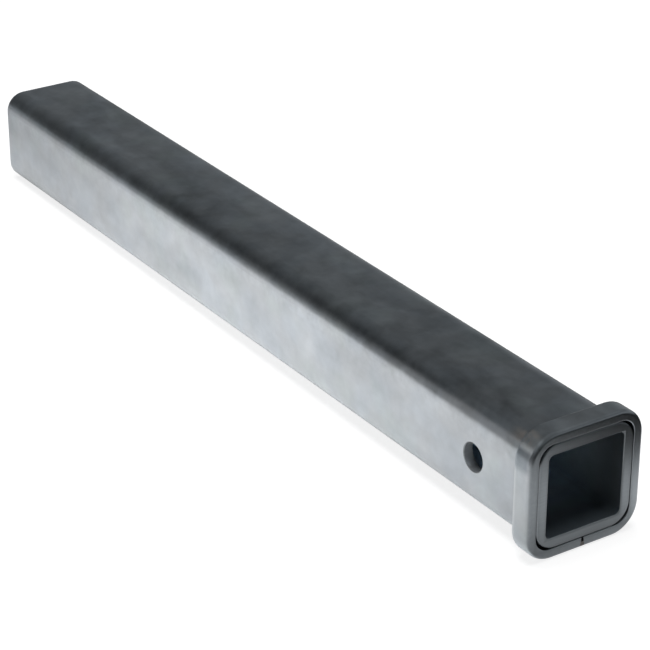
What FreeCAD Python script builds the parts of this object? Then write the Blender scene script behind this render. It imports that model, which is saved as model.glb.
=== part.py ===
# Hitch combo bar: a length of square steel receiver tube with a reinforcing
# collar round its mouth. The collar is one flat bar bent round the tube until
# its ends meet under the mouth. A groove weld closes that seam, and a fillet
# weld round the collar's back edge holds it to the tube. A hitch pin hole goes
# through both side walls.
# Millimetres. +X runs along the tube and out of its mouth, +Z is up, and the
# origin is where the pin's axis crosses the tube's axis.

import FreeCAD, Part
import math
import os

# Tube
TUBE_WIDTH = 63.5
TUBE_WALL = 6.35
TUBE_LENGTH = 609.6
TUBE_OUTER_RADIUS = 12.7
TUBE_INNER_RADIUS = 3.2
TUBE_END_BREAK = 0.5

# Hitch pin hole
PIN_HOLE_DIAMETER = 16.67
PIN_TO_MOUTH = 57.15
PIN_HOLE_BREAK = 0.4

# Collar, a bent flat bar that is stretched thinner at its four bends
COLLAR_THICKNESS = 6.35
COLLAR_LENGTH = 14.3
COLLAR_CLEARANCE = 0.3
COLLAR_INNER_RADIUS = 9.5
COLLAR_OUTER_RADIUS = 17.5
COLLAR_OUTER_ROUND = 2.4
COLLAR_BORE_ROUND = 0.6

# Groove weld in the seam under the mouth
SEAM_ROOT_GAP = 1.2
SEAM_SIDE_ANGLE = 10.0
SEAM_UNFILLED_ROOT = 2.4

# Fillet weld round the back of the collar
FILLET_LEG = 4.2
FILLET_CROWN = 0.5

TUBE_HALF = TUBE_WIDTH / 2
BORE_HALF = TUBE_HALF - TUBE_WALL
MOUTH_X = PIN_TO_MOUTH
FAR_END_X = MOUTH_X - TUBE_LENGTH
COLLAR_BACK_X = MOUTH_X - COLLAR_LENGTH
COLLAR_INNER_HALF = TUBE_HALF + COLLAR_CLEARANCE
COLLAR_OUTER_HALF = COLLAR_INNER_HALF + COLLAR_THICKNESS

ALONG_TUBE = FreeCAD.Vector(1, 0, 0)
ACROSS_TUBE = FreeCAD.Vector(0, 1, 0)
UP = FreeCAD.Vector(0, 0, 1)
NODE_FOLDER = "parts"


def arc_about(centre, radius, start_deg, turn_deg):
    """An arc in the plane of the tube's section, seen from the mouth."""

    def point(angle_deg):
        angle = math.radians(angle_deg)
        offset = FreeCAD.Vector(0, math.cos(angle), math.sin(angle))
        return centre + offset * radius

    middle = point(start_deg + turn_deg / 2)
    return Part.Arc(point(start_deg), middle, point(start_deg + turn_deg)).toShape()


def corner_centres(x, half, radius):
    """The centres of a rounded square's corner arcs, with each arc's first angle."""
    reach = half - radius
    return [
        (FreeCAD.Vector(x, reach, -reach), 270),
        (FreeCAD.Vector(x, reach, reach), 0),
        (FreeCAD.Vector(x, -reach, reach), 90),
        (FreeCAD.Vector(x, -reach, -reach), 180),
    ]


def rounded_square(x, half, radius):
    """The outline of a rounded square section of the tube."""
    arcs = [arc_about(centre, radius, first, 90) for centre, first in corner_centres(x, half, radius)]
    edges = []
    for number, arc in enumerate(arcs):
        following = arcs[(number + 1) % len(arcs)]
        edges.append(arc)
        start = arc.lastVertex(True).Point
        edges.append(Part.LineSegment(start, following.firstVertex(True).Point).toShape())
    return Part.Wire(edges)


def square_bar(x_start, x_end, half, radius):
    """A solid bar of rounded square section."""
    face = Part.Face(rounded_square(x_start, half, radius))
    return face.extrude(ALONG_TUBE * (x_end - x_start))


def end_edges(solid, x, half):
    """The edges of a square bar or bore, of a given half width, in its cut end at x."""
    found = []
    for edge in solid.Edges:
        box = edge.BoundBox
        reach = max(box.YMax, -box.YMin, box.ZMax, -box.ZMin)
        if box.XLength < 1e-6 and abs(box.XMin - x) < 1e-6 and abs(reach - half) < 0.01:
            found.append(edge)
    return found


def pin_hole_cutter():
    """The pin hole through both side walls, with its edges broken."""
    radius = PIN_HOLE_DIAMETER / 2
    wide = radius + PIN_HOLE_BREAK
    start = FreeCAD.Vector(0, -TUBE_HALF, 0)
    cutter = Part.makeCylinder(radius, TUBE_WIDTH, start, ACROSS_TUBE)
    for side in (-1, 1):
        for face_y in (TUBE_HALF, BORE_HALF):
            inward = -side if face_y == TUBE_HALF else side
            mouth = FreeCAD.Vector(0, side * face_y, 0)
            cone = Part.makeCone(
                wide, radius, PIN_HOLE_BREAK, mouth, ACROSS_TUBE * inward
            )
            cutter = cutter.fuse(cone)
    return cutter


def receiver_tube():
    """The square tube with its broken ends and its pin hole."""
    outside = square_bar(FAR_END_X, MOUTH_X, TUBE_HALF, TUBE_OUTER_RADIUS)
    inside = square_bar(FAR_END_X, MOUTH_X, BORE_HALF, TUBE_INNER_RADIUS)
    tube = outside.cut(inside)
    edges = []
    for x in (MOUTH_X, FAR_END_X):
        edges += end_edges(tube, x, TUBE_HALF) + end_edges(tube, x, BORE_HALF)
    tube = tube.makeChamfer(TUBE_END_BREAK, edges)
    return tube.cut(pin_hole_cutter())


def bent_bar():
    """The bar bent round the tube. The edge that the weld's root lies on is left sharp."""
    outside = square_bar(COLLAR_BACK_X, MOUTH_X, COLLAR_OUTER_HALF, COLLAR_OUTER_RADIUS)
    inside = square_bar(COLLAR_BACK_X, MOUTH_X, COLLAR_INNER_HALF, COLLAR_INNER_RADIUS)
    bar = outside.cut(inside)
    front = end_edges(bar, MOUTH_X, COLLAR_OUTER_HALF)
    back = end_edges(bar, COLLAR_BACK_X, COLLAR_OUTER_HALF)
    bar = bar.makeFillet(COLLAR_OUTER_ROUND, front + back)
    return bar.makeFillet(COLLAR_BORE_ROUND, end_edges(bar, MOUTH_X, COLLAR_INNER_HALF))


def seam_half_width(z):
    """Half the width of the seam's groove at a height in the bottom bar."""
    depth = -COLLAR_INNER_HALF - z
    return SEAM_ROOT_GAP / 2 + depth * math.tan(math.radians(SEAM_SIDE_ANGLE))


def seam_wedge(z_low, z_high):
    """The seam's groove between two heights, across the bar's whole width."""
    points = [
        FreeCAD.Vector(COLLAR_BACK_X, -seam_half_width(z_high), z_high),
        FreeCAD.Vector(COLLAR_BACK_X, seam_half_width(z_high), z_high),
        FreeCAD.Vector(COLLAR_BACK_X, seam_half_width(z_low), z_low),
        FreeCAD.Vector(COLLAR_BACK_X, -seam_half_width(z_low), z_low),
    ]
    face = Part.Face(Part.makePolygon(points + points[:1]))
    return face.extrude(ALONG_TUBE * COLLAR_LENGTH)


def carried_round(section, bend_reach):
    """A section under the tube, carried round it in four straight runs and four bends."""
    run = section.translated(-ACROSS_TUBE * bend_reach).extrude(ACROSS_TUBE * 2 * bend_reach)
    bend_axis = FreeCAD.Vector(0, bend_reach, -bend_reach)
    bend = section.translated(ACROSS_TUBE * bend_reach).revolve(bend_axis, ALONG_TUBE, 90)
    side = run.fuse(bend)
    centre = FreeCAD.Vector(0, 0, 0)
    quarters = [side.rotated(centre, ALONG_TUBE, turn) for turn in (90, 180, 270)]
    return side.fuse(quarters).removeSplitter()


def reinforcing_collar():
    """The bent bar, with its two ends cut back for the weld."""
    return bent_bar().cut(seam_wedge(-COLLAR_OUTER_HALF, -COLLAR_INNER_HALF))


def collar_seam_weld():
    """Weld metal, ground flush, in the outer part of the seam's groove."""
    top = -COLLAR_INNER_HALF - SEAM_UNFILLED_ROOT
    return bent_bar().common(seam_wedge(-COLLAR_OUTER_HALF, top))


def fillet_section():
    """The fillet weld's section under the tube, with its crowned face."""
    root = FreeCAD.Vector(COLLAR_BACK_X, 0, -TUBE_HALF)
    collar_toe = root - UP * FILLET_LEG
    tube_toe = root - ALONG_TUBE * FILLET_LEG
    out = (ALONG_TUBE * -1 - UP).normalize()
    crown = (collar_toe + tube_toe) * 0.5 + out * FILLET_CROWN
    edges = [
        Part.LineSegment(tube_toe, root).toShape(),
        Part.LineSegment(root, collar_toe).toShape(),
        Part.Arc(collar_toe, crown, tube_toe).toShape(),
    ]
    return Part.Wire(edges)


def collar_fillet_weld():
    """The fillet weld, all round the tube against the collar's back edge."""
    return carried_round(Part.Face(fillet_section()), TUBE_HALF - TUBE_OUTER_RADIUS)


def main():
    os.makedirs(NODE_FOLDER, exist_ok=True)
    nodes = {
        "receiver_tube": receiver_tube(),
        "reinforcing_collar": reinforcing_collar(),
        "collar_seam_weld": collar_seam_weld(),
        "collar_fillet_weld": collar_fillet_weld(),
    }
    for name, shape in nodes.items():
        solids = shape.Solids
        print(name, len(solids), "solid,", round(shape.Volume), "mm3", shape.isValid())
        shape.exportStep(os.path.join(NODE_FOLDER, name + ".step"))


main()
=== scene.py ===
import math

import bmesh
import bpy
from bpy.props import FloatProperty, FloatVectorProperty, IntProperty, PointerProperty
from mathutils import Matrix, Vector, noise


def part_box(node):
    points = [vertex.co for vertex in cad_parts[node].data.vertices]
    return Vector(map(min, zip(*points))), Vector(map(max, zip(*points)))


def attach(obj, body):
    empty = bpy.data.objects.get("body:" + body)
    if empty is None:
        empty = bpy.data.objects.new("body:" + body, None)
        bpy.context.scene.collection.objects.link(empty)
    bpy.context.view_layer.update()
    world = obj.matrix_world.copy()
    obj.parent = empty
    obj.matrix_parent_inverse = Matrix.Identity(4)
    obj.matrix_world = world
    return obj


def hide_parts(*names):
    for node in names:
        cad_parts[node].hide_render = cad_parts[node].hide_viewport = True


bl_info = {
    "name": "Hitch receiver tube",
    "version": (1, 0, 0),
    "blender": (4, 5, 0),
    "location": "3D View > Sidebar > Receiver",
    "description": "Dresses a raw steel receiver tube with its collar and welds",
    "category": "Object",
}

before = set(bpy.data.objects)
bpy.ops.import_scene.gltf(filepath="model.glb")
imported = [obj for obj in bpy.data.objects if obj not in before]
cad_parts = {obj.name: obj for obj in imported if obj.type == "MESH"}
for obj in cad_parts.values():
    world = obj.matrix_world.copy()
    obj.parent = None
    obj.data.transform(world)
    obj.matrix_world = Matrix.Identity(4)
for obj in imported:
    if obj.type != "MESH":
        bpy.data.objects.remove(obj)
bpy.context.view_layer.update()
TUBE_LOW, TUBE_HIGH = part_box("receiver_tube")
COLLAR_LOW, COLLAR_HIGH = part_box("reinforcing_collar")
WELD_LOW, WELD_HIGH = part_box("collar_fillet_weld")

# Metres. X runs along the tube and out of its mouth, and Z up. Y runs to the right of someone who
# faces the mouth.
MOUTH_X = TUBE_HIGH.x
FAR_X = TUBE_LOW.x
COLLAR_BACK_X = COLLAR_LOW.x
TUBE_HALF = TUBE_HIGH.y
COLLAR_HALF = COLLAR_HIGH.z
WELD_LEG = WELD_HIGH.x - WELD_LOW.x


# Shader graphs


class Value:
    """A number in a material. Sums and products of it add the Math nodes."""

    def __init__(self, graph, socket):
        self.graph = graph
        self.socket = socket

    def __add__(self, other):
        return self.graph.math("ADD", self, other)

    def __radd__(self, other):
        return self.graph.math("ADD", other, self)

    def __sub__(self, other):
        return self.graph.math("SUBTRACT", self, other)

    def __rsub__(self, other):
        return self.graph.math("SUBTRACT", other, self)

    def __mul__(self, other):
        return self.graph.math("MULTIPLY", self, other)

    def __rmul__(self, other):
        return self.graph.math("MULTIPLY", other, self)

    def __truediv__(self, other):
        return self.graph.math("DIVIDE", self, other)

    def __rtruediv__(self, other):
        return self.graph.math("DIVIDE", other, self)

    def __pow__(self, other):
        return self.graph.math("POWER", self, other)

    def __rpow__(self, other):
        return self.graph.math("POWER", other, self)

    def __neg__(self):
        return self.graph.math("MULTIPLY", self, -1)

    def __abs__(self):
        return self.graph.math("ABSOLUTE", self)

    def larger(self, other):
        """This or another value, whichever is larger."""
        return self.graph.math("MAXIMUM", self, other)

    def smaller(self, other):
        """This or another value, whichever is smaller."""
        return self.graph.math("MINIMUM", self, other)

    def step(self, at, soft):
        """0 below a value and 1 above it, with a smooth rise of a given width."""
        settings = {"interpolation_type": "SMOOTHSTEP", "clamp": True}
        inputs = {"Value": self, "From Min": at - soft / 2, "From Max": at + soft / 2}
        return Value(self.graph, self.graph.node("ShaderNodeMapRange", settings, inputs, "Result"))


class Graph:
    """A material's or the world's nodes."""

    def __init__(self, owner):
        owner.use_nodes = True
        self.tree = owner.node_tree
        self.tree.nodes.clear()

    def node(self, kind, settings, inputs, output=0):
        """Adds a node, sets it up, feeds its sockets and returns one output."""
        made = self.tree.nodes.new(kind)
        for name, setting in settings.items():
            setattr(made, name, setting)
        for name, given in inputs.items():
            socket = self.find(made.inputs, name)
            if isinstance(given, Value):
                given = given.socket
            if isinstance(given, bpy.types.NodeSocket):
                self.tree.links.new(given, socket)
            else:
                socket.default_value = given
        if not made.outputs:
            return made
        return self.find(made.outputs, output)

    def find(self, sockets, name):
        """A socket by its place, its identifier or its name."""
        if isinstance(name, int):
            return sockets[name]
        for socket in sockets:
            if socket.identifier == name:
                return socket
        return sockets[name]

    def math(self, operation, *values):
        """A sum, product or other function of numbers."""
        return Value(self, self.node("ShaderNodeMath", {"operation": operation}, dict(enumerate(values))))

    def blend(self, how, share, first, second):
        """Two colours brought together in one of the Mix node's ways."""
        settings = {"data_type": "RGBA", "blend_type": how}
        inputs = {"Factor_Float": share, "A_Color": first, "B_Color": second}
        return self.node("ShaderNodeMix", settings, inputs, "Result_Color")

    def mix(self, share, first, second):
        """A colour between two colours."""
        return self.blend("MIX", share, first, second)

    def tint(self, colour, filter_colour, amount):
        """A colour seen through a filter, by an amount that varies."""
        return self.blend("MULTIPLY", amount, colour, filter_colour)

    def shade(self, colour, amount):
        """A colour made lighter or darker by a factor that varies."""
        grey = self.node("ShaderNodeCombineColor", {}, {"Red": amount, "Green": amount, "Blue": amount})
        return self.blend("MULTIPLY", 1.0, colour, grey)

    def relief(self, height):
        """The normal of a surface whose height is given in metres."""
        return self.node("ShaderNodeBump", {}, {"Height": height, "Strength": 1.0, "Distance": 1.0})

    def place(self):
        """The point on the surface, in the part's own frame."""
        return self.node("ShaderNodeTexCoord", {}, {}, "Object")

    def normal(self):
        """The surface's direction, in the part's own frame."""
        return self.node("ShaderNodeTexCoord", {}, {}, "Normal")

    def parts(self, vector):
        """A vector's three numbers."""
        made = self.node("ShaderNodeSeparateXYZ", {}, {"Vector": vector}).node
        return [Value(self, socket) for socket in made.outputs]

    def stretched(self, vector, x, y, z):
        """A vector with each of its numbers multiplied."""
        return self.node("ShaderNodeVectorMath", {"operation": "MULTIPLY"}, {0: vector, 1: (x, y, z)})

    def moved(self, vector, x, y, z):
        """A vector with a number added to each of its own."""
        return self.node("ShaderNodeVectorMath", {"operation": "ADD"}, {0: vector, 1: (x, y, z)})

    def clouds(self, vector, scale, detail=3.0, roughness=0.55, distortion=0.0):
        """Soft noise between about 0.2 and 0.8. The scale is in clouds to the metre."""
        inputs = {
            "Vector": vector,
            "Scale": scale,
            "Detail": detail,
            "Roughness": roughness,
            "Distortion": distortion,
        }
        return Value(self, self.node("ShaderNodeTexNoise", {}, inputs))

    def finish(self, colour, metal, rough, bump):
        """Ends a steel's material with its surface."""
        inputs = {"Base Color": colour, "Metallic": metal, "Roughness": rough, "Normal": bump}
        surface = self.node("ShaderNodeBsdfPrincipled", {}, inputs)
        self.node("ShaderNodeOutputMaterial", {}, {"Surface": surface})


def new_material(name):
    """An empty material and its graph."""
    material = bpy.data.materials.new(name)
    return material, Graph(material)


def put_on(piece, material):
    """Gives every material slot of a piece the same material."""
    piece.data.materials.clear()
    piece.data.materials.append(material)


def off_axis(y, z):
    """How far a point is from the tube's axis, measured square to the walls."""
    return abs(y).larger(abs(z))


def into_corner(y, z):
    """How far a point is from both of the tube's middle planes."""
    return abs(y).smaller(abs(z))


# Steel

# Below this the render's noise filter takes steel for a mirror, and it leaves specks where the two meet.
LEAST_ROUGHNESS = 0.28

# Filters for the mill finish's faint colours
BLUE_CAST = (0.975, 0.997, 1.02, 1.0)
GREEN_CAST = (0.985, 1.005, 0.985, 1.0)

# How deep the relief of each layer is, in metres
WAVE_RELIEF = 0.00022
MOTTLE_RELIEF = 0.000002
STREAK_RELIEF = 0.000002
SAW_RELIEF = 0.000006
SHEAR_RELIEF = 0.000003
WELD_RELIEF = 0.00005

# Distances from both middle planes at which corners begin to take a painted highlight, or a heat tint
# with a painted highlight, and how far the tint and highlight show along the part, in metres
TUBE_HIGHLIGHT_FROM = 0.0262
TUBE_HEAT_HIGHLIGHT_FROM = 0.0245
TUBE_HEAT_HIGHLIGHT_ALONG = 0.012
COLLAR_HIGHLIGHT_FROM = 0.0300
COLLAR_HEAT_HIGHLIGHT_FROM = 0.0285
COLLAR_HEAT_HIGHLIGHT_ALONG = 0.009

# How wide the soft edge of such a corner is
CORNER_SOFT = 0.004


def painted_light(graph, place, corner_from):
    """Painted light and shade on the finish, from place to place, apart from its clouds.

    The top is darker at its left edge, and behind the collar it darkens toward the mouth. The underside
    and the lower bends are lighter, but not by the far end. The feet of the upper bends are lighter, but
    not by the mouth, where the left corners carry a painted highlight.
    """
    x, y, z = graph.parts(place)
    rise = graph.parts(graph.normal())[2]
    behind_collar = 1 - x.step(at=COLLAR_BACK_X, soft=0.01)
    fading = (x + 0.30) * -0.45 * behind_collar
    top = rise.step(at=0.5, soft=0.6) * (y * 6.0 + fading)
    underneath = (-rise).step(at=0.3, soft=0.3) * x.step(at=FAR_X + 0.10, soft=0.1)
    bend_foot = rise.step(at=0.2, soft=0.3) * (1 - rise.step(at=0.45, soft=0.2))
    behind_pin = 1 - x.step(at=-0.10, soft=0.15)
    left_corner = (-y).smaller(abs(z)).step(at=corner_from, soft=CORNER_SOFT)
    near_mouth = x.step(at=MOUTH_X - 0.08, soft=0.08)
    return top + underneath * 0.2 + bend_foot * behind_pin * 0.26 + left_corner * near_mouth * 0.6


def steel_surface(graph, look, colour, place, corner_from):
    """Colour, roughness and height in metres of raw rolled steel: cloudy mill finish, painted light and
    shade.
    """
    x, _, z = graph.parts(place)
    rise = graph.parts(graph.normal())[2]
    broad = graph.clouds(graph.stretched(place, 0.5, 1.0, 1.0), 26.0, roughness=0.5, distortion=0.5)
    patch = graph.clouds(graph.moved(place, 3.1, 1.7, 0.4), 75.0, roughness=0.5, distortion=0.3)
    mottle = graph.clouds(graph.moved(place, 1.3, 4.1, 2.2), 260.0, roughness=0.6)
    streaks = graph.clouds(graph.stretched(place, 5.0, 260.0, 260.0), 1.0, detail=2.0, roughness=0.5)
    waves = graph.clouds(graph.stretched(place, 0.6, 1.0, 1.0), 24.0, detail=1.0, roughness=0.4)

    # Clouds and patches are deeper where the steel faces up, and the mottle on the upper sides and bends.
    tone = (broad - 0.5) * (1 + rise.step(at=0.6, soft=0.6) * 1.3)
    tone = tone + (patch - 0.5) * (0.7 + rise.step(at=0.2, soft=0.5) * 0.7)
    upper = z.step(at=0.014, soft=0.01) * (1 - rise.step(at=0.85, soft=0.2))
    light = 1 + tone * look.cloud_depth + (mottle - 0.5) * (0.10 + upper * 0.22) + (streaks - 0.5) * 0.06
    # Painted light and shade, added to the clouds
    light = light + painted_light(graph, place, corner_from)

    blue = graph.clouds(graph.moved(place, 7.0, 2.0, 5.0), 38.0, detail=2.0, roughness=0.5)
    green = graph.clouds(graph.moved(place, 2.0, 9.0, 1.0), 30.0, detail=2.0, roughness=0.5)
    colour = graph.tint(colour, BLUE_CAST, blue.step(at=0.52, soft=0.3))
    colour = graph.tint(colour, GREEN_CAST, green.step(at=0.58, soft=0.2))
    colour = graph.shade(colour, light)

    near_mouth = x.step(at=MOUTH_X - 0.065, soft=0.09)
    rough = look.roughness + (patch - broad) * 0.07 + near_mouth * 0.04
    height = waves * WAVE_RELIEF + mottle * MOTTLE_RELIEF + streaks * STREAK_RELIEF
    return colour, rough.larger(LEAST_ROUGHNESS), height


def heat_tint_and_highlight(graph, look, place, colour, along, corner_from):
    """Brown heat tint and painted highlight over the upper corners by the weld, as far as it reaches along
    the tube.
    """
    x, y, z = graph.parts(place)
    rise = graph.parts(graph.normal())[2]
    by_weld = 1 - abs(x - COLLAR_BACK_X).step(at=along, soft=along * 1.2)
    corner = into_corner(y, z).step(at=corner_from, soft=CORNER_SOFT)
    patch = graph.clouds(graph.moved(place, 4.4, 6.1, 8.3), 95.0).step(at=0.45, soft=0.3)
    share = by_weld * patch * corner * rise.step(at=0.62, soft=0.3) * 0.75
    return graph.mix(share, colour, look.heat_highlight_colour)


def bend_shade(graph, look, place, colour):
    """Painted shade, tinted blue, on the sides of the collar's upper bends."""
    x, _, z = graph.parts(place)
    _, across, rise = graph.parts(graph.normal())
    upper_side = z.step(at=0.0178, soft=0.006) * (1 - rise.step(at=0.48, soft=0.14))
    band = upper_side * abs(across).step(at=0.45, soft=0.3)
    front_round = x.step(at=MOUTH_X - 0.0025, soft=0.002)
    return graph.tint(colour, look.bend_shade_colour, band * (1 - front_round * 0.55))


def back_edge_highlight(graph, place):
    """How far the back edge of the collar takes a painted highlight: on its sides, but not by the bends."""
    x, _, z = graph.parts(place)
    across = graph.parts(graph.normal())[1]
    at_back = 1 - (x - COLLAR_BACK_X).step(at=0.0030, soft=0.002)
    by_bend = abs(z).step(at=0.026, soft=0.008)
    return at_back * abs(across).step(at=0.5, soft=0.3) * (1 - by_bend)


def groove_shade(graph, place, colour):
    """Painted shade in the groove between the tube and the collar, deepest under the collar's top."""
    x, y, z = graph.parts(place)
    rise = graph.parts(graph.normal())[2]
    amount = 0.17 + (-rise).step(at=0.4, soft=0.3) * z.step(at=0, soft=0.02) * 0.3
    middle_of_groove = TUBE_HALF + 0.0002
    beside = 1 - abs(off_axis(y, z) - middle_of_groove).step(at=0.0014, soft=0.0026)
    at_mouth = x.step(at=MOUTH_X - 0.002, soft=0.001)
    return graph.shade(colour, 1 - beside * at_mouth * amount)


def tube_steel(look):
    """Raw tube: mill finish outside, dark scale in the bore, saw marks on the cut ends."""
    material, graph = new_material("tube_steel")
    place = graph.place()
    x, y, z = graph.parts(place)
    facing = abs(graph.parts(graph.normal())[0])
    colour, rough, height = steel_surface(graph, look, look.tube_colour, place, TUBE_HIGHLIGHT_FROM)
    # Heat tint with a painted highlight by the weld
    colour = heat_tint_and_highlight(graph, look, place, colour, TUBE_HEAT_HIGHLIGHT_ALONG, TUBE_HEAT_HIGHLIGHT_FROM)

    # Painted light: the bore's scale is darkest by its ends, where light gets in, and lighter deep inside.
    bore_half = TUBE_HALF - look.tube_wall
    inside = 1 - off_axis(y, z).step(at=bore_half + 0.0004, soft=0.0004)
    depth = (MOUTH_X - x).smaller(x - FAR_X)
    crust = 0.8 + graph.clouds(place, 120.0, detail=4.0) * 0.4
    scale = graph.shade(look.bore_colour, crust * (1 + depth.step(at=0.045, soft=0.08) * 11))
    colour = graph.mix(inside, colour, scale)

    from_pin = (x * x + z * z) ** 0.5
    in_hole = 1 - from_pin.step(at=look.pin_radius + 0.0002, soft=0.0003)
    in_hole = in_hole * (1 - inside)
    colour = graph.mix(in_hole, colour, look.hole_colour)

    cut = facing.step(at=0.5, soft=0.3)
    saw = graph.clouds(graph.stretched(place, 1.0, 70.0, 900.0), 1.0, roughness=0.6)
    # Painted shade on the cut end, darkest by the bore's edge
    bore_rim_shade = 1 - (off_axis(y, z) - bore_half).step(at=0.0003, soft=0.0034)
    cut_colour = graph.shade(look.cut_colour, (0.72 + saw * 0.24) * (1 - bore_rim_shade * 0.55))
    colour = groove_shade(graph, place, graph.mix(cut, colour, cut_colour))

    rough = rough + inside * 0.3 + in_hole * 0.2 - cut * (rough - LEAST_ROUGHNESS)
    metal = 1 - (inside * 0.9).larger(in_hole * 0.7)
    bump = graph.relief(height * (1 - cut) + saw * cut * SAW_RELIEF)
    graph.finish(colour, metal, rough, bump)
    return material


def collar_steel(look):
    """The bent bar: the same mill finish, duller on its sheared edges."""
    material, graph = new_material("collar_steel")
    place = graph.place()
    y = graph.parts(place)[1]
    facing = abs(graph.parts(graph.normal())[0])
    colour, rough, height = steel_surface(graph, look, look.collar_colour, place, COLLAR_HIGHLIGHT_FROM)
    # Heat tint with a painted highlight by the weld
    colour = heat_tint_and_highlight(graph, look, place, colour, COLLAR_HEAT_HIGHLIGHT_ALONG, COLLAR_HEAT_HIGHLIGHT_FROM)
    # A painted highlight along the collar's back edge
    colour = graph.mix(back_edge_highlight(graph, place) * 0.35, colour, look.back_edge_highlight_colour)
    # Painted shade on the sides of the upper bends
    colour = bend_shade(graph, look, place, colour)

    # Painted light: the sheared edge is lighter toward the right.
    edge = facing.step(at=0.72, soft=0.4)
    grain = graph.clouds(place, 420.0, detail=4.0, roughness=0.65)
    cut_colour = graph.shade(look.cut_colour, 0.83 + grain * 0.24 + y * 3.2)
    colour = groove_shade(graph, place, graph.mix(edge, colour, cut_colour))

    rough = rough - edge * (rough - LEAST_ROUGHNESS)
    bump = graph.relief(height * (1 - edge) + grain * edge * SHEAR_RELIEF)
    graph.finish(colour, 1.0, rough, bump)
    return material


def weld_metal(look):
    """Weld metal: dull grey, browned by heat."""
    material, graph = new_material("weld_metal")
    place = graph.place()
    patch = graph.clouds(place, 90.0)
    speckle = graph.clouds(place, 500.0)
    grain = graph.clouds(place, 900.0)
    colour = graph.mix(patch.step(at=0.5, soft=0.3) * 0.4, look.weld_colour, look.stain_colour)
    colour = graph.shade(colour, 0.75 + speckle * 0.5)
    graph.finish(colour, 1.0, 0.42 + patch * 0.2, graph.relief(grain * WELD_RELIEF))
    return material


# Welds

# The bead's legs as shares of the plain weld's leg, and how far the hand wandered, in metres
LEG_OUT_SHARE = 0.92
LEG_BACK_SHARE = 0.96
WANDER_OUT = 0.00035
WANDER_BACK = 0.0004

# A ripple rises over this share of its pitch, and it bows back by this many pitches in the bead's middle.
RIPPLE_RISE = 0.35
RIPPLE_BOW = 1.2

# The bead's face rises on the diagonal between the tube and the collar, by this share each way.
DIAGONAL = 0.7071

# The bead's root lies a hair inside the tube and the collar, so that no slit shows.
ROOT_IN_TUBE = 0.0002
ROOT_IN_COLLAR = 0.0001


def round_tube(half, radius, steps):
    """Points round the tube's outline from the bottom's middle, each with its outward direction.

    The outline's length comes with them.
    """
    quarter_turn = math.pi / 2
    flat = 2 * (half - radius)
    bend = quarter_turn * radius
    total = 4 * (flat + bend)
    found = []
    for number in range(steps):
        run = (number / steps) * total + flat / 2
        side, rest = divmod(run, flat + bend)
        turn = Matrix.Rotation(quarter_turn * side, 3, "X")
        if rest < flat:
            point = Vector((0, rest - flat / 2, -half))
            out = Vector((0, 0, -1))
        else:
            angle = (rest - flat) / radius
            out = Vector((0, math.sin(angle), -math.cos(angle)))
            point = Vector((0, flat / 2, radius - half)) + out * radius
        found.append((turn @ point, turn @ out))
    return found, total


def ripple_level(run, share, pitch):
    """A ripple's level from -0.5 to 0.5, at a run round the tube and a share of the way up the bead."""
    lag = (1 - (2 * share - 1) ** 2) * pitch * RIPPLE_BOW
    phase = (run + lag) / pitch % 1.0
    if phase > RIPPLE_RISE:
        return 0.5 - (phase - RIPPLE_RISE) / (1 - RIPPLE_RISE)
    return phase / RIPPLE_RISE - 0.5


def bead_section(sizes, point, out, run):
    """The bead's section at a point on the tube: its face from the tube up to the collar, then its root."""
    leg_out = WELD_LEG * LEG_OUT_SHARE + noise.noise(point * 90.0) * WANDER_OUT
    leg_back = WELD_LEG * LEG_BACK_SHARE + noise.noise(point * 110.0 + Vector((5, 0, 0))) * WANDER_BACK
    spots = []
    for number in range(sizes.section_points):
        share = number / (sizes.section_points - 1)
        crown = math.sin(math.pi * share)
        ripple = ripple_level(run, share, sizes.ripple_pitch) * sizes.ripple_height * crown ** 0.5
        rise = (crown * sizes.crown + ripple) * DIAGONAL
        back = leg_back * (1 - share) + rise
        spot = point + out * (leg_out * share + rise) - Vector((back, 0, 0))
        spot.x += COLLAR_BACK_X
        spots.append(spot)
    root = point - out * ROOT_IN_TUBE
    root.x = COLLAR_BACK_X + ROOT_IN_COLLAR
    return spots + [root]


def fillet_bead(sizes):
    """The fillet weld as it was laid: a crowned bead with a ripple for each step of the torch."""
    path, total = round_tube(TUBE_HALF, sizes.corner_radius, sizes.steps)
    shape = bmesh.new()
    rings = []
    for number, (point, out) in enumerate(path):
        section = bead_section(sizes, point, out, number / len(path) * total)
        rings.append([shape.verts.new(spot) for spot in section])
    for ring, after in zip(rings, rings[1:] + rings[:1]):
        for number, corner in enumerate(ring):
            following = (number + 1) % len(ring)
            shape.faces.new((corner, ring[following], after[following], after[number]))
    bmesh.ops.recalc_face_normals(shape, faces=shape.faces)
    mesh = bpy.data.meshes.new("fillet_weld_bead")
    shape.to_mesh(mesh)
    shape.free()
    mesh.shade_smooth()
    piece = bpy.data.objects.new("fillet_weld_bead", mesh)
    bpy.context.scene.collection.objects.link(piece)
    return piece


# Stage

# The collar's rounded edge and the tube's broken end, inside which the two touch the floor
COLLAR_ROUND = 0.0024
TUBE_END_BREAK = 0.0005

# The photograph's camera: frame and focal length in pixels, sensor in millimetres, angles in degrees
PHOTO_WIDTH = 650
FOCAL_LENGTH = 2401.9272
SENSOR_WIDTH = 36
CAMERA_AZIMUTH = 56.359
CAMERA_ELEVATION = 26.5019
CAMERA_ROLL = 0.1408

# Where it stands from the part's origin, in metres: back along its line of sight, to its left, and up
CAMERA_BACK = 1.31643
CAMERA_LEFT = 0.1065688
CAMERA_UP = 0.0639429

# The floor's grey where only light that it throws back on the steel meets it
PLAIN_GREY = (0.8, 0.8, 0.8, 1.0)


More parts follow.
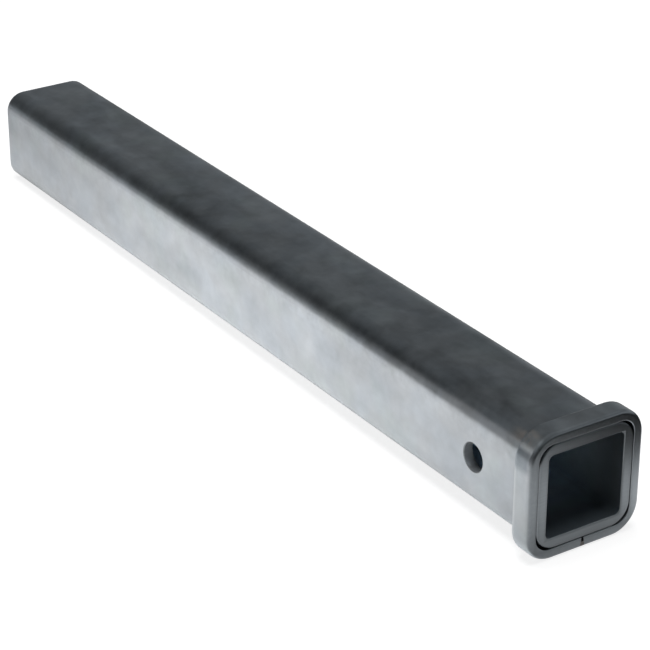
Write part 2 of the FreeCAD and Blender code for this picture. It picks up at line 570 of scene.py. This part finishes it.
def floor_pool(graph):
    """The pool of light on the floor that the steel mirrors.

    It fades outward and past the mouth, at the collar's foot and to the right of the tube.
    """
    x, y, _ = graph.parts(graph.node("ShaderNodeNewGeometry", {}, {}, "Position"))
    along = (x + 0.255) / 0.43
    across = (y + 0.03) / 0.32
    pool = (1 + along * along + across * across) ** -0.8
    past = (x * 0.8 + y * 0.6).step(at=0.146, soft=0.045)
    ahead = x.step(at=MOUTH_X, soft=0.01) * (1 - x.step(at=MOUTH_X + 0.038, soft=0.06))
    foot = ahead * (1 - abs(y).step(at=0.05, soft=0.04))
    from_far_end = ((x + 0.6) * 1.2).larger(0).smaller(0.6)
    right = from_far_end * y.step(at=0.08, soft=0.08) * (1 - x.step(at=0.06, soft=0.06))
    return pool * 0.97 * (1 - past * 0.955) * (1 - foot * 0.4) * (1 - right)


def white_floor(look):
    """White to the camera, a pool of light to the steel's mirror, and plain grey to other light."""
    material, graph = new_material("white_floor")
    path = graph.node("ShaderNodeLightPath", {}, {}).node.outputs
    mirrored = Value(graph, path["Is Glossy Ray"])
    seen = Value(graph, path["Is Camera Ray"]).larger(Value(graph, path["Is Transmission Ray"]))
    level = 1 - mirrored * (1 - floor_pool(graph))
    white = graph.node("ShaderNodeBsdfPrincipled", {}, {
        "Base Color": graph.shade(look.floor_colour, level * (0.28 + mirrored * 0.3)),
        "Roughness": 1.0,
        "Specular IOR Level": 0.0,
        "Emission Color": graph.shade(look.floor_colour, level * (0.8 - mirrored * 0.3)),
        "Emission Strength": 1.0,
    })
    plain = graph.node("ShaderNodeBsdfDiffuse", {}, {"Color": PLAIN_GREY})
    surface = graph.node("ShaderNodeMixShader", {}, {0: seen.larger(mirrored), 1: plain, 2: white})
    graph.node("ShaderNodeOutputMaterial", {}, {"Surface": surface})
    return material


def lay_floor(look):
    """A white floor that the tube lies on: it touches the collar and the tube's far end."""
    contact_x = COLLAR_BACK_X + COLLAR_ROUND
    reach = contact_x - (FAR_X + TUBE_END_BREAK)
    half = look.floor_size / 2
    mesh = bpy.data.meshes.new("floor")
    shape = bmesh.new()
    corners = [(-half, -half, 0), (half, -half, 0), (half, half, 0), (-half, half, 0)]
    shape.faces.new([shape.verts.new(corner) for corner in corners])
    shape.to_mesh(mesh)
    shape.free()
    floor = bpy.data.objects.new("floor", mesh)
    floor.location = (contact_x, 0, -COLLAR_HALF)
    floor.rotation_euler = (0, math.atan2(COLLAR_HALF - TUBE_HALF, reach), 0)
    bpy.context.scene.collection.objects.link(floor)
    put_on(floor, white_floor(look))


def hang_lamp(name, place, aim, width, height, power, mirrored):
    """A soft rectangular lamp that faces a point. The steel mirrors it or doesn't."""
    data = bpy.data.lights.new(name, "AREA")
    data.shape = "RECTANGLE"
    data.size = width
    data.size_y = height
    data.energy = power
    lamp = bpy.data.objects.new(name, data)
    lamp.visible_glossy = mirrored
    lamp.location = place
    lamp.rotation_mode = "QUATERNION"
    lamp.rotation_quaternion = (Vector(aim) - Vector(place)).to_track_quat("-Z", "Y")
    bpy.context.scene.collection.objects.link(lamp)


def hang_lamps(look):
    """A lamp overhead, which the steel doesn't mirror, and a card at the left, which it does."""
    hang_lamp(
        "overhead_lamp", place=(-0.2, -0.2, 2.2), aim=(-0.2, 0, 0),
        width=1.6, height=1.2, power=look.overhead_power, mirrored=False,
    )
    hang_lamp(
        "left_card", place=(-1.55, -2.45, 0.80), aim=(0, 0, 0),
        width=1.25, height=1.1, power=look.card_power, mirrored=True,
    )


def light_room(look):
    """The dim room that the steel mirrors.

    It is lighter behind the tube, most of all low down, and overhead, past the mouth and low at far left.
    """
    world = bpy.data.worlds.new("studio")
    bpy.context.scene.world = world
    graph = Graph(world)
    x, y, z = graph.parts(graph.node("ShaderNodeTexCoord", {}, {}, "Generated"))
    low = (0.45 - z.smaller(0.6)) * (1 - (-x - y).step(at=0.05, soft=0.2) * 0.8)
    behind = y.step(at=0.15, soft=1.1) * (0.085 + low * 0.4)
    overhead = z.step(at=0.75, soft=0.4)
    past_mouth = x.step(at=0.45, soft=0.6)
    far_left = (y - x).step(at=0.1, soft=0.3) * (1 - y.step(at=-0.25, soft=0.3))
    low_left = (1 - z.step(at=0.07, soft=0.14)) * far_left
    level = 0.070 + behind + overhead * 0.15 + past_mouth * 0.05 + low_left * 0.5
    colour = graph.shade(look.world_colour, level)
    sky = graph.node("ShaderNodeBackground", {}, {"Color": colour, "Strength": 1.0})
    graph.node("ShaderNodeOutputWorld", {}, {"Surface": sky})


def set_camera():
    """The photograph's point of view, over the tube's left side and mouth."""
    azimuth = math.radians(CAMERA_AZIMUTH)
    elevation = math.radians(CAMERA_ELEVATION)
    roll = math.radians(CAMERA_ROLL)
    back = Vector((
        math.sin(azimuth) * math.cos(elevation),
        -math.cos(azimuth) * math.cos(elevation),
        math.sin(elevation),
    ))
    level = (-back).cross(Vector((0, 0, 1))).normalized()
    upright = level.cross(-back)
    right = level * math.cos(roll) + upright * math.sin(roll)
    up = upright * math.cos(roll) - level * math.sin(roll)
    data = bpy.data.cameras.new("camera")
    data.lens = FOCAL_LENGTH / PHOTO_WIDTH * SENSOR_WIDTH
    data.sensor_width = SENSOR_WIDTH
    data.clip_start = 0.05
    data.clip_end = 100
    camera = bpy.data.objects.new("camera", data)
    camera.matrix_world = Matrix((right, up, back)).transposed().to_4x4()
    camera.location = back * CAMERA_BACK - right * CAMERA_LEFT + up * CAMERA_UP
    bpy.context.scene.collection.objects.link(camera)
    bpy.context.scene.camera = camera


# Sizes and colours a user would change


class SteelLook(bpy.types.PropertyGroup):
    tube_colour: FloatVectorProperty(
        name="Tube", description="Colour of the tube's mill finish",
        subtype="COLOR", size=4, min=0, max=1, default=(0.487, 0.509, 0.530, 1.0),
    )
    collar_colour: FloatVectorProperty(
        name="Collar", description="Colour of the bent bar",
        subtype="COLOR", size=4, min=0, max=1, default=(0.500, 0.523, 0.543, 1.0),
    )
    cut_colour: FloatVectorProperty(
        name="Cut faces", description="Colour of sawn and sheared faces",
        subtype="COLOR", size=4, min=0, max=1, default=(0.364, 0.394, 0.418, 1.0),
    )
    bore_colour: FloatVectorProperty(
        name="Bore", description="Colour of the dark scale inside the tube",
        subtype="COLOR", size=4, min=0, max=1, default=(0.042, 0.052, 0.060, 1.0),
    )
    hole_colour: FloatVectorProperty(
        name="Pin hole", description="Colour of the pin hole's wall",
        subtype="COLOR", size=4, min=0, max=1, default=(0.19, 0.20, 0.21, 1.0),
    )
    # Heat tint with a painted highlight on the upper corners by the weld
    heat_highlight_colour: FloatVectorProperty(
        name="Heat tint and highlight", description="Colour of the upper corners by the weld",
        subtype="COLOR", size=4, min=0, max=1, default=(0.98, 0.86, 0.77, 1.0),
    )
    # Painted shade on the collar's upper bends
    bend_shade_colour: FloatVectorProperty(
        name="Shade on the bends", description="Filter over the collar's upper bends",
        subtype="COLOR", size=4, min=0, max=1, default=(0.60, 0.62, 0.655, 1.0),
    )
    # A painted highlight along the collar's back edge
    back_edge_highlight_colour: FloatVectorProperty(
        name="Back edge highlight", description="Colour of the collar's painted back edge highlight",
        subtype="COLOR", size=4, min=0, max=1, default=(0.78, 0.80, 0.82, 1.0),
    )
    weld_colour: FloatVectorProperty(
        name="Weld", description="Colour of the weld metal",
        subtype="COLOR", size=4, min=0, max=1, default=(0.26, 0.27, 0.28, 1.0),
    )
    stain_colour: FloatVectorProperty(
        name="Weld stain", description="Colour of the brown stains on the weld metal",
        subtype="COLOR", size=4, min=0, max=1, default=(0.22, 0.17, 0.13, 1.0),
    )
    roughness: FloatProperty(
        name="Roughness", description="How dull the mill finish is",
        subtype="FACTOR", min=0, max=1, default=0.31,
    )
    cloud_depth: FloatProperty(
        name="Cloud depth", description="How far the cloudy patches go from light to dark",
        subtype="FACTOR", min=0, max=1, default=0.52,
    )
    tube_wall: FloatProperty(
        name="Tube wall", description="Thickness of the tube's wall",
        unit="LENGTH", subtype="DISTANCE", min=0, default=0.00635,
    )
    pin_radius: FloatProperty(
        name="Pin hole radius", description="Radius of the pin hole with its broken edge",
        unit="LENGTH", subtype="DISTANCE", min=0, default=0.00874,
    )


class WeldSizes(bpy.types.PropertyGroup):
    corner_radius: FloatProperty(
        name="Corner radius", description="Radius of the tube's outer corners",
        unit="LENGTH", subtype="DISTANCE", min=0, default=0.0127,
    )
    crown: FloatProperty(
        name="Crown", description="Height of the bead's crown",
        unit="LENGTH", subtype="DISTANCE", min=0, default=0.0007,
    )
    ripple_pitch: FloatProperty(
        name="Ripple pitch", description="Distance from one ripple to the next",
        unit="LENGTH", subtype="DISTANCE", min=0.0005, default=0.0024,
    )
    ripple_height: FloatProperty(
        name="Ripple height", description="Height of a ripple",
        unit="LENGTH", subtype="DISTANCE", min=0, default=0.00035,
    )
    steps: IntProperty(
        name="Steps", description="Sections of the bead round the tube", min=100, default=1000,
    )
    section_points: IntProperty(
        name="Section points", description="Points across the bead's face", min=5, default=13,
    )


class StageLook(bpy.types.PropertyGroup):
    floor_size: FloatProperty(
        name="Floor size", description="Width of the floor",
        unit="LENGTH", subtype="DISTANCE", min=1, default=40.0,
    )
    floor_colour: FloatVectorProperty(
        name="Floor", description="Colour of the floor and of the background",
        subtype="COLOR", size=4, min=0, max=1, default=(1.0, 1.0, 1.0, 1.0),
    )
    world_colour: FloatVectorProperty(
        name="Surroundings", description="Colour of the room's light",
        subtype="COLOR", size=4, min=0, max=2, default=(0.94, 1.0, 1.04, 1.0),
    )
    overhead_power: FloatProperty(
        name="Overhead lamp", description="Power of the lamp overhead",
        unit="POWER", min=0, default=60.0,
    )
    card_power: FloatProperty(
        name="Left card", description="Power of the card at the left",
        unit="POWER", min=0, default=2.6,
    )


# Operators


class RECEIVER_OT_tube(bpy.types.Operator):
    """Gives the tube its mill finish, dark bore, pin hole and sawn ends"""

    bl_idname = "receiver.tube"
    bl_label = "Finish the tube"

    def execute(self, context):
        put_on(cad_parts["receiver_tube"], tube_steel(context.scene.steel_look))
        return {"FINISHED"}


class RECEIVER_OT_collar(bpy.types.Operator):
    """Gives the bent bar its finish"""

    bl_idname = "receiver.collar"
    bl_label = "Finish the collar"

    def execute(self, context):
        put_on(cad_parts["reinforcing_collar"], collar_steel(context.scene.steel_look))
        return {"FINISHED"}


class RECEIVER_OT_welds(bpy.types.Operator):
    """Lays the rippled fillet weld behind the collar and finishes the seam weld"""

    bl_idname = "receiver.welds"
    bl_label = "Lay the welds"

    def execute(self, context):
        metal = weld_metal(context.scene.steel_look)
        bead = fillet_bead(context.scene.weld_sizes)
        put_on(bead, metal)
        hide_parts("collar_fillet_weld")
        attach(bead, "root")
        put_on(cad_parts["collar_seam_weld"], metal)
        return {"FINISHED"}


class RECEIVER_OT_stage(bpy.types.Operator):
    """Sets the floor, the room's light, the lamps and the camera"""

    bl_idname = "receiver.stage"
    bl_label = "Set the stage"

    def execute(self, context):
        look = context.scene.stage_look
        lay_floor(look)
        light_room(look)
        hang_lamps(look)
        set_camera()
        context.scene.view_settings.view_transform = "Standard"
        return {"FINISHED"}


class RECEIVER_PT_panel(bpy.types.Panel):
    """The receiver tube's pieces, with the sizes and colours that they take"""

    bl_idname = "RECEIVER_PT_panel"
    bl_label = "Receiver tube"
    bl_space_type = "VIEW_3D"
    bl_region_type = "UI"
    bl_category = "Receiver"

    def draw(self, context):
        for operator in OPERATORS:
            self.layout.operator(operator.bl_idname)
        for name in LOOKS:
            group = getattr(context.scene, name)
            box = self.layout.box()
            for field in group.__annotations__:
                box.prop(group, field)


OPERATORS = (RECEIVER_OT_tube, RECEIVER_OT_collar, RECEIVER_OT_welds, RECEIVER_OT_stage)
LOOKS = {"steel_look": SteelLook, "weld_sizes": WeldSizes, "stage_look": StageLook}


def register():
    """Adds the panel, the operators and the scene's fields."""
    for name, group in LOOKS.items():
        bpy.utils.register_class(group)
        setattr(bpy.types.Scene, name, PointerProperty(type=group))
    for operator in OPERATORS:
        bpy.utils.register_class(operator)
    bpy.utils.register_class(RECEIVER_PT_panel)


def unregister():
    """Takes away what register adds."""
    bpy.utils.unregister_class(RECEIVER_PT_panel)
    for operator in reversed(OPERATORS):
        bpy.utils.unregister_class(operator)
    for name, group in LOOKS.items():
        delattr(bpy.types.Scene, name)
        bpy.utils.unregister_class(group)


def main():
    register()
    bpy.ops.receiver.tube()
    bpy.ops.receiver.collar()
    bpy.ops.receiver.welds()
    bpy.ops.receiver.stage()


if __name__ == "__main__":
    main()
